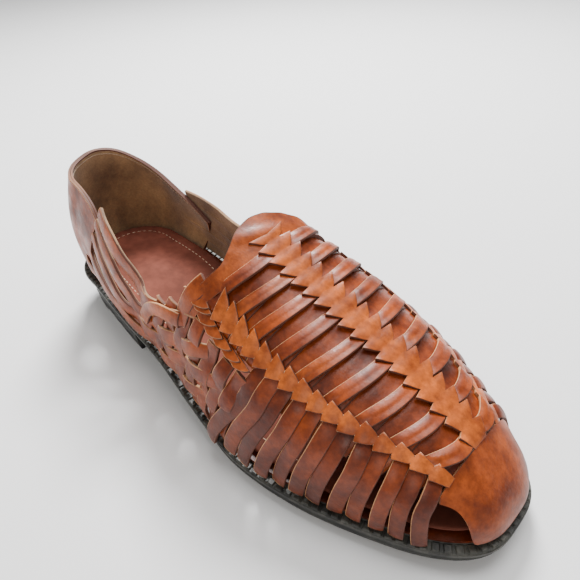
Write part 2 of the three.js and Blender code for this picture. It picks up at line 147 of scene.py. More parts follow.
def last_half(x, side):
    return abs(side * (section("lateral" if side < 0 else "medial", x) - FEATHER) - section("ridge_y", x))


def last_point(x, side, v):
    """Point on the last at plan station x; v is 0 at the feather edge and 1 on the ridge."""
    toe = clamp((x - TOE_X) / (TOE_RADIUS - FEATHER), 0, 1)
    across = max(1 - toe ** (2 / TOE_POWER), 0) ** (TOE_POWER / 2)
    across *= max(math.cos(clamp(v, 0, 1) * math.pi / 2), 0) ** SIDE_POWER
    reach = (toe ** (2 / TOE_POWER) + across ** (2 / TOE_POWER)) ** (TOE_POWER / 2)
    turn = min(reach, 1) ** (1 / SIDE_POWER)
    base = welt_top(x)
    z = base + (ridge_top(x) - base) * math.sqrt(max(1 - turn * turn, 0)) ** CROWN_POWER
    return Vector((x, section("ridge_y", x) + side * across * last_half(x, side), z))


def wall_point(s, side, z):
    """Point on the heel's wall at station s and height z."""
    bx, by = outline(s, side, FEATHER)
    foot = welt_top(bx)
    crown = ridge_top(max(s, 0))
    rise = clamp((z - foot) / (crown - foot), 0, 1) ** (1 / CROWN_POWER)
    reach = math.sqrt(1 - rise * rise) ** SIDE_POWER
    cx = max(s, 0)
    cy = 0 if s < 0 else section("ridge_y", cx)
    return Vector((cx + (bx - cx) * reach, cy + (by - cy) * reach, z))


def dome_point(s, side, reach):
    """Point on the toe's dome in fan station s, out from the dome's centre by the fraction reach."""
    bx, by = outline(s, side, FEATHER)
    cy = section("ridge_y", TOE_X)
    x = TOE_X + (bx - TOE_X) * reach
    turn = min(reach, 1) ** (1 / SIDE_POWER)
    foot = welt_top(bx)
    z = foot + (ridge_top(x) - foot) * math.sqrt(max(1 - turn * turn, 0)) ** CROWN_POWER
    return Vector((x, cy + (by - cy) * reach, z))


def outward(surface, a, b, step_a, step_b):
    """Unit direction out of the foot at a surface's point."""
    along_a = surface(a + step_a, b) - surface(a - step_a, b)
    along_b = surface(a, b + step_b) - surface(a, b - step_b)
    out = along_a.cross(along_b)
    at = surface(a, b)
    if out.length < 1e-9:
        out = Vector((0, 0, 1))
    out.normalize()
    core = Vector((clamp(at.x, 0, TOE_X), section("ridge_y", at.x), 10))
    return -out if out.dot(at - core) < 0 else out


def half_width(x, side):
    """Distance from the ridge to the feather edge at x, rounded off in the toe."""
    toe = clamp((x - TOE_X) / (TOE_RADIUS - FEATHER), 0, 0.999)
    return last_half(x, side) * (1 - toe ** (2 / TOE_POWER)) ** (TOE_POWER / 2)


def from_ridge(x, side, v):
    """Millimetres from the ridge, lateral negative, of the place (x, side, v)."""
    return side * half_width(x, side) * math.cos(v * math.pi / 2) ** SIDE_POWER


def vamp_point(x, dy):
    """Point and outward direction on the vamp at x, dy millimetres from the ridge (lateral is negative)."""
    def surface(a, b):
        side = -1 if b < 0 else 1
        share = clamp(abs(b) / half_width(a, side), 0, 1) ** (1 / SIDE_POWER)
        return last_point(a, side, math.acos(share) * 2 / math.pi)
    at = surface(x, dy)
    along_x = surface(x + 0.5, dy) - surface(x - 0.5, dy)
    along_y = surface(x, dy + 0.5) - surface(x, dy - 0.5)
    return at, along_x.cross(along_y).normalized()


def side_point(x, side, v):
    """Point and outward direction on the last at (x, side, v)."""
    v = clamp(v, 0.004, 0.985)

    def surface(a, b):
        return last_point(a, side, b)
    return last_point(x, side, v), outward(surface, x, v, 0.5, 0.003)


# Shaping helpers: every piece starts as a flat cut of leather or rubber and is laid in its place
def deselect():
    bpy.ops.object.select_all(action="DESELECT")


def pick(*pieces):
    deselect()
    for piece in pieces:
        piece.select_set(True)
    bpy.context.view_layer.objects.active = pieces[0]


def flat_cut(name, along, across):
    deselect()
    bpy.ops.mesh.primitive_grid_add(x_subdivisions=along, y_subdivisions=across, size=2, calc_uvs=True)
    piece = bpy.context.object
    piece.name = name
    return piece


def lay(piece, place):
    """Moves each point of a flat cut: place(t, b) has t from 0 to 1 along it and b from -1 to 1 across it."""
    for vertex in piece.data.vertices:
        vertex.co = place((vertex.co.x + 1) / 2, vertex.co.y) * MM
    piece.data.update()


def modify(piece, kind, **settings):
    pick(piece)
    modifier = piece.modifiers.new(kind.lower(), kind)
    for key, value in settings.items():
        setattr(modifier, key, value)
    bpy.ops.object.modifier_apply(modifier=modifier.name)


def start_edit(piece):
    pick(piece)
    bpy.ops.object.mode_set(mode="EDIT")
    bpy.ops.mesh.select_all(action="SELECT")


def merge_points(piece):
    start_edit(piece)
    bpy.ops.mesh.remove_doubles(threshold=0.02 * MM)
    bpy.ops.mesh.normals_make_consistent(inside=False)
    bpy.ops.object.mode_set(mode="OBJECT")


def turn_over(piece):
    start_edit(piece)
    bpy.ops.mesh.flip_normals()
    bpy.ops.object.mode_set(mode="OBJECT")


def face_out(piece):
    """Turns a closed piece's faces outwards after it was laid from either end."""
    start_edit(piece)
    bpy.ops.mesh.normals_make_consistent(inside=False)
    bpy.ops.object.mode_set(mode="OBJECT")


def set_finish(piece, *finishes):
    piece.data.materials.clear()
    for finish in finishes:
        piece.data.materials.append(finish)


def give_tone(piece, tone):
    """Stores how light and orange a piece of leather is, from 0 dark to 1 light."""
    layer = piece.data.attributes.new("tone", "FLOAT", "POINT")
    for item in layer.data:
        item.value = tone


def leather_wall(piece, thick, finish, edge, tone=0.5, rounding=0.35, smooth=1):
    set_finish(piece, finish, edge)
    modify(piece, "SOLIDIFY", thickness=thick * MM, offset=1, use_even_offset=False,
           material_offset_rim=1, use_quality_normals=True)
    modify(piece, "BEVEL", width=rounding * MM, segments=2, limit_method="ANGLE",
           angle_limit=math.radians(50), material=1)
    if smooth:
        modify(piece, "SUBSURF", levels=smooth, render_levels=smooth)
    give_tone(piece, tone)
    pick(piece)
    bpy.ops.object.shade_smooth()


def join(name, pieces, slot, *nodes):
    """Joins pieces into one, which rides on the sandal's only body."""
    pick(*pieces)
    if len(pieces) > 1:
        bpy.ops.object.join()
    whole = bpy.context.object
    whole.name = name
    whole.data.name = name
    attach(whole, "root")
    if nodes:
        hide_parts(*nodes)
    return whole


# Materials
def new_material(name, roughness, **sockets):
    material = bpy.data.materials.new(name)
    material.use_nodes = True
    shader = material.node_tree.nodes["Principled BSDF"]
    shader.inputs["Roughness"].default_value = roughness
    for key, value in sockets.items():
        shader.inputs[key.replace("_", " ")].default_value = value
    return material, shader


def node(material, kind, **settings):
    made = material.node_tree.nodes.new(kind)
    for key, value in settings.items():
        if key in made.inputs:
            made.inputs[key].default_value = value
        else:
            setattr(made, key, value)
    return made


def link(material, source, output, target, socket):
    material.node_tree.links.new(source.outputs[output], target.inputs[socket])


def mix_colours(material, factor, first, second, blend="MIX"):
    """Mixes two colours; each is a node's colour output or a plain colour."""
    made = node(material, "ShaderNodeMix", data_type="RGBA", blend_type=blend)
    for index, value in ((0, factor), (6, first), (7, second)):
        if isinstance(value, bpy.types.NodeSocket):
            material.node_tree.links.new(value, made.inputs[index])
        else:
            made.inputs[index].default_value = value
    return made.outputs[2]


def noise_value(material, scale, detail=3, roughness=0.5, stretch=None):
    place = node(material, "ShaderNodeTexCoord")
    made = node(material, "ShaderNodeTexNoise", Scale=scale, Detail=detail, Roughness=roughness)
    if stretch:
        turn = node(material, "ShaderNodeMapping")
        turn.inputs["Scale"].default_value = stretch
        link(material, place, "Object", turn, "Vector")
        link(material, turn, "Vector", made, "Vector")
    else:
        link(material, place, "Object", made, "Vector")
    return made.outputs["Fac"]


def ranged(material, value, low, high, to_low=0.0, to_high=1.0):
    made = node(material, "ShaderNodeMapRange")
    for index, number in ((1, low), (2, high), (3, to_low), (4, to_high)):
        made.inputs[index].default_value = number
    material.node_tree.links.new(value, made.inputs[0])
    return made.outputs[0]


def add_bump(material, shader, layers):
    """Lays bumps over one another: each is a value, its depth in millimetres and its strength."""
    before = None
    for value, depth, strength in layers:
        bump = node(material, "ShaderNodeBump", Strength=strength, Distance=depth * MM)
        material.node_tree.links.new(value, bump.inputs["Height"])
        if before:
            link(material, before, "Normal", bump, "Normal")
        before = bump
    link(material, before, "Normal", shader, "Normal")


def upper_leather():
    material, shader = new_material("upper_leather", 0.42, Specular_IOR_Level=0.3, Coat_Weight=0.06,
                                    Coat_Roughness=0.28)
    tone = node(material, "ShaderNodeAttribute", attribute_name="tone").outputs["Fac"]
    dark = (0.075, 0.010, 0.002, 1)
    brown = (0.29, 0.052, 0.008, 1)
    light = (0.60, 0.145, 0.018, 1)
    low = mix_colours(material, ranged(material, tone, 0.0, 0.5), dark, brown)
    base = mix_colours(material, ranged(material, tone, 0.5, 1.0), low, light)
    blotch = ranged(material, noise_value(material, 70, 5, 0.6), 0.36, 0.64)
    blotched = mix_colours(material, blotch, (0.5, 0.4, 0.34, 1), (1.22, 1.2, 1.16, 1))
    coloured = mix_colours(material, 1.0, base, blotched, "MULTIPLY")
    streaks = ranged(material, noise_value(material, 420, 3, 0.6), 0.3, 0.7, 0.72, 1.15)
    streaked = mix_colours(material, 1.0, coloured, streaks, "MULTIPLY")
    # Painted shade: the leather's colour is multiplied down to 0.62 towards the bottom, near the sole, where
    # the upper sits in shade.
    place = node(material, "ShaderNodeTexCoord")
    split = node(material, "ShaderNodeSeparateXYZ")
    link(material, place, "Object", split, "Vector")
    foot = ranged(material, split.outputs["Z"], 0.010, 0.036, 0.62, 1.0)
    shaded = mix_colours(material, 1.0, streaked, foot, "MULTIPLY")
    material.node_tree.links.new(shaded, shader.inputs["Base Color"])
    grain = node(material, "ShaderNodeTexVoronoi", Scale=1150, feature="SMOOTH_F1")
    link(material, place, "Object", grain, "Vector")
    wrinkle = noise_value(material, 260, 5, 0.62)
    pull = noise_value(material, 60, 3, 0.5)
    pores = grain.outputs["Distance"]
    add_bump(material, shader, [(pull, 1.2, 0.5), (wrinkle, 0.4, 0.5), (pores, 0.08, 0.4)])
    gloss = ranged(material, noise_value(material, 120, 4), 0.3, 0.7, 0.3, 0.52)
    material.node_tree.links.new(gloss, shader.inputs["Roughness"])
    return material


def cut_edge():
    """Cut edges: pale cut leather where they face the heel, kept pale there as a painted highlight of the
    light they catch; a dark painted shade where they face the toe.
    """
    material, shader = new_material("cut_leather_edge", 0.7)
    speck = ranged(material, noise_value(material, 900, 4, 0.65), 0.3, 0.7)
    pale = mix_colours(material, speck, (0.40, 0.15, 0.055, 1), (0.72, 0.38, 0.18, 1))
    facing = node(material, "ShaderNodeNewGeometry")
    split = node(material, "ShaderNodeSeparateXYZ")
    link(material, facing, "Normal", split, "Vector")
    # Painted light: edges that face the toe turn to a dark painted shade, and those that face the heel keep
    # the pale painted highlight.
    toe_side = ranged(material, split.outputs["X"], -0.2, 0.3)
    colour = mix_colours(material, toe_side, pale, (0.085, 0.022, 0.009, 1))
    material.node_tree.links.new(colour, shader.inputs["Base Color"])
    add_bump(material, shader, [(noise_value(material, 1500, 3), 0.12, 0.6)])
    return material


def suede():
    material, shader = new_material("suede_lining", 0.95, Sheen_Weight=0.35, Sheen_Roughness=0.5)
    wear = ranged(material, noise_value(material, 38, 5, 0.6), 0.36, 0.66)
    nap = ranged(material, noise_value(material, 700, 4, 0.7), 0.3, 0.7, 0.75, 1.15)
    tan = mix_colours(material, wear, (0.16, 0.085, 0.04, 1), (0.42, 0.25, 0.12, 1))
    napped = mix_colours(material, 1.0, tan, nap, "MULTIPLY")
    material.node_tree.links.new(napped, shader.inputs["Base Color"])
    add_bump(material, shader, [(noise_value(material, 1100, 4, 0.7), 0.3, 0.7)])
    return material


def insole_leather():
    material, shader = new_material("insole_leather", 0.85, Specular_IOR_Level=0.18)
    wear = ranged(material, noise_value(material, 22, 4, 0.55), 0.35, 0.68)
    colour = mix_colours(material, wear, (0.10, 0.028, 0.017, 1), (0.21, 0.062, 0.040, 1))
    rubbed = ranged(material, noise_value(material, 190, 4), 0.35, 0.7, 0.86, 1.12)
    rubbed_colour = mix_colours(material, 1.0, colour, rubbed, "MULTIPLY")
    material.node_tree.links.new(rubbed_colour, shader.inputs["Base Color"])
    add_bump(material, shader, [(noise_value(material, 420, 5, 0.6), 0.25, 0.35)])
    return material


def sole_rubber(name, dark, light, gloss):
    material, shader = new_material(name, gloss)
    dust = ranged(material, noise_value(material, 140, 5, 0.65), 0.42, 0.72)
    colour = mix_colours(material, dust, dark, light)
    material.node_tree.links.new(colour, shader.inputs["Base Color"])
    add_bump(material, shader, [(noise_value(material, 900, 4, 0.6), 0.12, 0.4)])
    return material


def thread():
    material, shader = new_material("waxed_thread", 0.6)
    twist = ranged(material, noise_value(material, 2200, 2), 0.3, 0.7)
    colour = mix_colours(material, twist, (0.34, 0.22, 0.14, 1), (0.62, 0.46, 0.33, 1))
    material.node_tree.links.new(colour, shader.inputs["Base Color"])
    return material


LEATHER = upper_leather()
EDGE = cut_edge()
SUEDE = suede()
INSOLE = insole_leather()
RUBBER = sole_rubber("sole_rubber", (0.012, 0.012, 0.011, 1), (0.045, 0.045, 0.037, 1), 0.62)
WELT = sole_rubber("welt_rubber", (0.017, 0.017, 0.014, 1), (0.085, 0.083, 0.066, 1), 0.5)
THREAD = thread()


# Strips of leather
NEAR = 0.02


def strip(name, side, path, widths, lifts, tone, rows=14, columns=5, thick=1.7, crown=0.35, tilt=0.0):
    """Strip of leather along (x, v) points on one side. widths and lifts are (t, millimetres) rows;
    tilt raises its toe-side edge and drops the other."""
    steps = len(path) - 1
    xs = [(i / steps, x) for i, (x, _) in enumerate(path)]
    vs = [(i / steps, v) for i, (_, v) in enumerate(path)]

    def spot(t):
        return curve_value(xs, t), curve_value(vs, t)

    frames = {}

    def frame_at(t):
        key = round(t, 5)
        if key not in frames:
            x, v = spot(t)
            at, out = side_point(x, side, v)
            before = side_point(*spread(spot(max(t - NEAR, 0)), side))[0]
            after = side_point(*spread(spot(min(t + NEAR, 1)), side))[0]
            along = (after - before).normalized()
            across = out.cross(along).normalized()
            toe_side = 1 if across.x > 0 else -1
            frames[key] = (x, v, at, out, along, across, toe_side)
        return frames[key]

    def place(t, b):
        x, v, at, out, along, across, toe_side = frame_at(t)
        half = curve_value(widths, t) / 2
        at, out = slid(x, side, v, across * (half * b), at, out)
        lift = curve_value(lifts, t) + crown * (1 - b * b) + tilt * b * toe_side
        return at + out * lift

    piece = flat_cut(name, rows, columns)
    lay(piece, place)
    leather_wall(piece, thick, LEATHER, EDGE, tone)
    return piece


def spread(pair, side):
    return pair[0], side, pair[1]


def slid(x, side, v, step, at, out):
    """Point on the last near (x, v), moved by the vector step along its surface."""
    along_x = (last_point(x + 0.5, side, v) - last_point(x - 0.5, side, v))
    d = 0.004
    high, low = clamp(v + d, 0, 0.99), clamp(v - d, 0.001, 1)
    along_v = (last_point(x, side, high) - last_point(x, side, low)) / (high - low)
    xx, xv, vv = along_x.dot(along_x), along_x.dot(along_v), along_v.dot(along_v)
    sx, sv = step.dot(along_x), step.dot(along_v)
    det = xx * vv - xv * xv
    if abs(det) < 1e-6:
        return at + step, out
    dx = (sx * vv - sv * xv) / det
    dv = (sv * xx - sx * xv) / det
    new_v = v + dv
    if new_v < 0.004 or new_v > 0.985:
        return at + step, out
    return side_point(x + dx, side, new_v)


# Weave of the vamp: pairs of strips from the ridge spine to the side spine, counted from the throat.
# Columns: the top strip's toe-side and heel-side edge at the ridge spine, then the same at the side spine
TOP_STRIPS = [
    (134.8, 129.9, 128.5, 125.4), (146.2, 141.3, 138.5, 135.1), (157.3, 152.3, 149.8, 145.9),
    (169.2, 164.1, 161.7, 157.7), (182.0, 176.9, 174.2, 170.0), (195.4, 190.0, 188.1, 183.2),
    (207.7, 202.9, 201.7, 196.9), (220.7, 216.0, 215.2, 210.7), (233.0, 228.4, 227.8, 223.2),
]
NEXT_PAIR = (247.0, 242.5, 243.0, 238.0)
SPINE_CENTRE = ((115, -6.0), (130, -5.5), (153, -4.5), (177, -2.5), (203, 0.0), (229, 2.0), (240, 2.0))
SPINE_INNER = 4.4
STRIP_BEND = 2.4
TOP_LIFTS = ((0, 0.5), (0.16, 2.6), (0.78, 2.5), (1, 0.5))
UNDER_LIFTS = ((0, 0.4), (0.15, 0.8), (0.8, 0.5), (1, 0.3))
UNDER_SPINE = 1.5
UNDER_LOW_V = 0.53
UNDER_TOE_RISE = 0.1
UNDER_REAR_PAIRS = 6
SPINE_OUTER = ((130, 9.5), (205, 9.3), (230, 7.8))
SIDE_TOE_V = ((128, 0.58), (150, 0.553), (188, 0.566), (201, 0.579), (215, 0.61), (228, 0.66), (240, 0.7))
SIDE_HEEL_V = ((126, 0.63), (146, 0.61), (170, 0.597), (190, 0.605), (211, 0.647), (223, 0.686), (240, 0.73))


def at_ridge_spine(x, side, outer):
    """Distance from the ridge of the ridge spine's edge: its barbs' tips, or else its notches."""
    half = curve_value(SPINE_OUTER, x) if outer else SPINE_INNER
    return curve_value(SPINE_CENTRE, x) + side * half


def edge_strip(name, side, toe_edge, heel_edge, lifts, tone, tilt, fold, thick=1.6):
    """Strip between two edges, each of them (x, distance from the ridge) at its start and end."""
    piece = flat_cut(name, 18, 8)

    def place(t, b):
        share = (b + 1) / 2
        start = [mix(heel_edge[0][i], toe_edge[0][i], share) for i in (0, 1)]
        end = [mix(heel_edge[1][i], toe_edge[1][i], share) for i in (0, 1)]
        swell = (STRIP_BEND + 0.55 * b) * math.sin(math.pi * t)
        x, dy = mix(start[0], end[0], t) + swell, mix(start[1], end[1], t)
        at, out = vamp_point(x, dy)
        ridge = fold * max(0, 1 - abs(b + 0.35) / 0.5) * math.sin(math.pi * t)
        tipped = tilt * b * math.sin(math.pi * clamp(t, 0.08, 0.92))
        return at + out * (curve_value(lifts, t) + tipped + ridge)

    lay(piece, place)
    if side > 0:
        turn_over(piece)
    leather_wall(piece, thick, LEATHER, EDGE, tone, 0.28, 1)
    return piece


def vamp_strips(side):
    """Top strips, and the under strips that fill the gaps between them; both end under the spines."""
    tops, unders = [], []
    pairs = TOP_STRIPS + [NEXT_PAIR]
    for k, (ridge_toe, ridge_heel, side_toe, side_heel) in enumerate(TOP_STRIPS):
        hidden = side * UNDER_SPINE
        low_v = UNDER_LOW_V + (UNDER_TOE_RISE if k > UNDER_REAR_PAIRS else 0)
        toe = ((ridge_toe + 0.9, at_ridge_spine(ridge_toe, side, False) - hidden),
               (side_toe - 0.2, from_ridge(side_toe, side, curve_value(SIDE_TOE_V, side_toe) - 0.045)))
        heel = ((ridge_heel + 0.6, at_ridge_spine(ridge_heel, side, True) - side * 2.5),
                (side_heel - 1.0, from_ridge(side_heel, side, curve_value(SIDE_HEEL_V, side_heel) - 0.06)))
        tops.append(edge_strip("top_strip", side, toe, heel, TOP_LIFTS,
                               0.5 + random.uniform(-0.12, 0.12), tilt=0.95, fold=0.6))
        following = pairs[k + 1]
        ahead = following[2] + 3.4
        toe = ((following[1] + 0.2, at_ridge_spine(following[1], side, False) - hidden),
               (ahead, from_ridge(ahead, side, low_v)))
        heel = ((ridge_toe - 1.2, at_ridge_spine(ridge_toe, side, False) - hidden),
                (side_toe - 1.5, from_ridge(side_toe, side, low_v)))
        unders.append(edge_strip("under_strip", side, toe, heel, UNDER_LIFTS,
                                 0.42 + random.uniform(-0.12, 0.1), tilt=0.8, fold=0.5, thick=1.1))
    return tops, unders


# Side strips from the side spine down to the welt, in pairs with open gaps.
# Columns: x at the spine, half-way and at the welt, the width, and how far the foot stands out
SIDE_STRIPS = [
    (158.5, 154.0, 137.5, 7.2, 5.0), (164.0, 160.5, 148.0, 7.0, 2.6), (170.0, 166.5, 156.5, 6.8, 2.5),
    (177.6, 175.0, 166.5, 6.6, 2.3), (183.7, 182.0, 175.5, 6.4, 0.9), (191.2, 189.5, 184.0, 6.6, 1.0),
    (197.0, 196.0, 191.8, 6.6, 0.8), (204.7, 205.0, 201.3, 6.4, 0.8), (211.1, 211.0, 209.2, 6.2, 0.9),
    (218.3, 219.0, 218.2, 5.8, 1.3), (224.4, 225.3, 226.0, 5.8, 1.6), (230.8, 232.0, 234.0, 5.6, 2.2),
]
SPINE_LOW_V = ((120, 0.46), (174, 0.473), (188, 0.48), (202, 0.487), (215, 0.528), (229, 0.555), (240, 0.57))


def side_strips(side):
    """Side strips, and the short strip ends that show behind the gap inside each pair."""
    made = []
    for i, (top, middle, foot, width, stand) in enumerate(SIDE_STRIPS):
        v = curve_value(SPINE_LOW_V, top) + 0.035
        path = [(top + 0.3, v), (mix(top, middle, 0.6) + 0.5, mix(v, 0.3, 0.6)), (middle, 0.28),
                (mix(middle, foot, 0.5), 0.14), (foot, 0.004)]
        bow = random.uniform(-0.2, 0.3)
        raised = 0.7 if i % 2 else 0.0
        made.append(strip("side_strip", side, path, [(0, width), (0.3, width + 0.3), (1, width - 0.2)],
                          [(0, 0.2), (0.12, 1.0 + raised), (0.6, 1.3 + raised + bow), (0.93, stand + 0.3),
                           (1, stand)], 0.3 + random.uniform(-0.14, 0.1), rows=20, columns=6, crown=0.45,
                          tilt=-0.35 if i % 2 else 0.35))
        if i % 2 == 0 and i:
            gap = (top + SIDE_STRIPS[i + 1][0]) / 2
            made.append(strip("behind", side, [(gap + 1, v), (gap - 0.5, v - 0.07), (gap - 2, v - 0.15)],
                              [(0, 6), (1, 5)], [(0, -0.8), (1, -0.8)], 0.62, rows=6, columns=3, thick=1.2))
    return made


# Spines: bands with barbed edges, whose barbs cover the ends of the strips.
# Rows: number of a barb and the x of its tip
RIDGE_BARBS = ((-2, 119.5), (0, 130.1), (4, 153.3), (8, 177.4), (12, 203.2), (16, 229.0), (18, 242.0))
SIDE_BARBS = ((-5, 122.0), (0, 154.5), (3, 174.2), (6, 194.6), (9, 215.4), (12, 236.0))


def barbed_band(name, first, last, tips, spot, tone, base, raise_tip, columns=10):
    """Band with a barb for each number: spot(x, b, outer) places the point b across it, where outer
    is 1 at a barb's tips and 0 in the notches."""
    rows = []
    for k in range(first, last):
        here, following = curve_value(tips, k), curve_value(tips, k + 1)
        rows += [(here, 1.0, 1.0), (mix(here, following, 0.3), 0.68, 0.85),
                 (mix(here, following, 0.6), 0.36, 0.6), (following - 0.8, 0.0, 0.15)]
    piece = flat_cut(name, len(rows) - 1, columns)
    count = len(rows) - 1

    def place(t, b):
        x, outer, height = rows[round(t * count)]
        at, out = spot(x, b, outer)
        return at + out * (base + raise_tip * height * abs(b) ** 2.5 + (0.35 + 0.5 * height) * (1 - b * b))

    lay(piece, place)
    leather_wall(piece, 1.4, LEATHER, EDGE, tone, 0.22, 0)
    return piece


def ridge_spine():
    def spot(x, b, outer):
        half = mix(SPINE_INNER, curve_value(SPINE_OUTER, x), outer)
        rear = 1.4 * (1 - abs(b)) * outer
        return vamp_point(min(x + rear, 242), curve_value(SPINE_CENTRE, x) + half * b)
    return barbed_band("ridge_spine", -1, 17, RIDGE_BARBS, spot, 0.74, 2.1, 1.5)


def side_spine(side):
    def spot(x, b, outer):
        low = mix(curve_value(SPINE_LOW_V, x) + 0.036, curve_value(SPINE_LOW_V, x), outer)
        high = mix(curve_value(SIDE_TOE_V, x) + 0.004, curve_value(SIDE_HEEL_V, x), outer)
        return side_point(x, side, mix(low, high, (b + 1) / 2))
    piece = barbed_band("side_spine", -4, 12, SIDE_BARBS, spot, 0.8, 2.2, 0.9, 8)
    face_out(piece)
    return piece


# Short chain of flaps behind the side spine. Columns: x and v of each flap's low and high tip
CHAIN = [
    (117.0, 0.428, 126.5, 0.49), (119.5, 0.423, 128.5, 0.48), (124.0, 0.402, 132.8, 0.465),
    (129.2, 0.392, 137.8, 0.448), (135.2, 0.392, 143.4, 0.444), (141.5, 0.392, 149.0, 0.438),
    (146.8, 0.39, 154.4, 0.436),
]


def chain(side):
    made = []
    for low_x, low_v, high_x, high_v in CHAIN:
        piece = flat_cut("flap", 8, 6)

        def place(t, b):
            share = (b + 1) / 2
            x = mix(low_x, high_x, share) - 9 * (1 - t) + 1.2 * math.sin(math.pi * share) * t
            v = mix(low_v, high_v, share) + 0.012 * (1 - t)
            at, out = side_point(x, side, v)
            return at + out * (1.2 + 2.0 * t ** 2 + 0.4 * (1 - b * b))

        lay(piece, place)
        if side > 0:
            turn_over(piece)
        leather_wall(piece, 1.3, LEATHER, EDGE, 0.6 + random.uniform(-0.06, 0.06), 0.22, 1)
        face_out(piece)
        made.append(piece)
    for i in range(6):
        x = 122.5 + 5.6 * i
        path = [(x + 6, 0.57), (x + 3.5, 0.51), (x + 2, 0.45)]
        made.append(strip("link", side, path, [(0, 5.6), (1, 5.8)], [(0, 0.6), (0.5, 1.9), (1, 0.4)],
                          0.34 + 0.16 * (i % 2), rows=8, columns=4, thick=1.3))
    return made


# Throat tab and toe cap: plain leather that the ridge spine runs into
# Columns: distance from the ridge, and x of the tab's rear edge or of its front edge
TAB_HALF = 42
THROAT = [(-42, 112.5), (-39, 114.2), (-34, 118), (-28, 121.3), (-24, 121), (-14.5, 117.6), (-7, 116.3),
          (-2, 117), (1.3, 117.6), (4.2, 119.2), (9.4, 121.3), (14, 122.8), (18, 125), (24, 125), (30, 121.5),
          (36, 117), (42, 113)]
TAB_FRONT = [(-42, 119), (-36, 125), (-30, 129), (-15, 132), (0, 134), (15, 134), (30, 130), (36, 125),
             (42, 119)]
# Columns: x, distance from the ridge, length, turn and height
CREASES = [
    (121, -14, 9, 1.1, 0.9), (124, -7, 7, 1.3, 0.8), (119, 6, 8, 0.4, 0.6), (123, 15, 8, 0.2, 0.7),
    (120, -25, 7, 0.9, 0.7), (126, 1, 6, 1.5, 0.5),
]


CREASE_WIDTH = 2.2


def crease(x, y):
    """Height of the leather's main creases at a point."""
    total = 0
    for cx, cy, length, turn, height in CREASES:
        along = (x - cx) * math.cos(turn) + (y - cy) * math.sin(turn)
        across = (y - cy) * math.cos(turn) - (x - cx) * math.sin(turn)
        total += height * math.exp(-(along / length) ** 2 - (across / CREASE_WIDTH) ** 2)
    return total


def throat_tab():
    piece = flat_cut("throat_tab", 10, 44)

    def place(t, b):
        dy = TAB_HALF * b
        x = mix(curve_value(THROAT, dy), curve_value(TAB_FRONT, dy), t)
        at, out = vamp_point(x, dy)
        flare = 0.4 * (1 - t) ** 2
        return at + out * (1.5 + crease(x, dy) + flare)

    lay(piece, place)
    leather_wall(piece, 1.8, LEATHER, EDGE, 0.62, 0.35, 1)
    return piece


CAP_REAR_X = 234.5
CUT_FRONT_TURN = 0.565
CUT_TOP_TURN = 0.28
CUT_TOP_REACH = 0.849
CUT_POWER = 3


def toe_cap():
    piece = flat_cut("toe_cap", 18, 56)

    def place(t, b):
        side = -1 if b < 0 else 1
        turn = mix(1, CUT_TOP_TURN, abs(b))
        s = TOE_X + TOE_TURN * turn
        rear = (CAP_REAR_X - TOE_X) / (outline(s, side, FEATHER)[0] - TOE_X)
        cut = clamp((turn - CUT_TOP_TURN) / (CUT_FRONT_TURN - CUT_TOP_TURN), 0, 1)
        outer = mix(CUT_TOP_REACH, 0.998, cut ** CUT_POWER)
        reach = mix(min(rear, CUT_TOP_REACH - 0.03), outer, 1 - (1 - t) ** 1.7)
        at = dome_point(s, side, reach)

        def surface(a, r):
            return dome_point(a, side, r)
        out = outward(surface, min(s, TOE_END - 1), min(reach, 0.99), 0.5, 0.004)
        if abs(b) < 0.02:
            out.y = 0
            out.normalize()
        soft = 0.5 * noise.noise(Vector((at.x * 0.05, at.y * 0.05, at.z * 0.05)))
        return at + out * (1.4 + soft)

    lay(piece, place)
    leather_wall(piece, 1.8, LEATHER, EDGE, 0.55, 0.35, 1)
    return piece


# Counter: the heel's wall, from its lateral front edge round the back to its medial one.
# Rows: place along it, station, rim height and how far its foot leans back
COUNTER = [
    (0.0, 27, -1, 77, -24), (0.06, 20, -1, 83, -14), (0.14, 8, -1, 87, -5), (0.23, -8, -1, 89, 0),
    (0.32, -24, -1, 90, 0), (0.41, -42, -1, 91, 0), (0.5, -60, -1, 92, 0), (0.59, -42, 1, 89, 0),
    (0.68, -24, 1, 81, 0), (0.77, -8, 1, 73, 0), (0.86, 10, 1, 66, -2), (0.93, 26, 1, 60, -6),
    (1.0, 40, 1, 53, -12),
]


COUNTER_BULGE = 3.0


def counter_spot(t):
    """Station round the heel (past the back it counts on), rim height and lean at t."""
    turned = [(row[0], row[1] if row[2] < 0 else -120 - row[1]) for row in COUNTER]
    return (curve_value(turned, t), curve_value([(r[0], r[3]) for r in COUNTER], t),
            min(curve_value([(r[0], r[4]) for r in COUNTER], t), 0))


def counter_point(t, level):
    turned, rim, lean = counter_spot(t)
    side = -1 if turned > -60 else 1
    s = turned if turned > -60 else -120 - turned
    s += lean * (1 - level)
    foot = welt_top(outline(s, side, FEATHER)[0]) + 0.4
    return s, side, mix(foot, rim, level)


def counter_place(t, level, offset):
    s, side, z = counter_point(t, level)
    at = wall_point(s, side, z)
    near = clamp(s, -58, 60)
    ahead = wall_point(near + 1, side, z) - wall_point(near - 1, side, z)
    up = wall_point(near, side, z + 1) - wall_point(near, side, z - 1)
    out = ahead.cross(up).normalized()
    if out.dot(at - Vector((max(at.x, 0), 0, at.z))) < 0:
        out = -out
    if s < -55:
        out = Vector((-1, out.y * 0.3, 0)).normalized()
    bulge = COUNTER_BULGE * math.sin(math.pi * clamp(level, 0, 1)) ** 1.2
    return at + out * (offset + bulge)


def counter_shell(name, offset, thick, finish, edge, tone):
    piece = flat_cut(name, 56, 12)

    def place(t, b):
        return counter_place(t, (b + 1) / 2, offset)

    lay(piece, place)
    merge_points(piece)
    leather_wall(piece, thick, finish, edge, tone, 0.3, 1)
    return piece


# Bands on the counter's outside, as the low and high level of each; their ends are places along the counter
BANDS = [(0.87, 0.965), (0.70, 0.80), (0.53, 0.63), (0.36, 0.46), (0.19, 0.29)]
BAND_ENDS = ((0.36, 0.03), (0.64, 0.955))


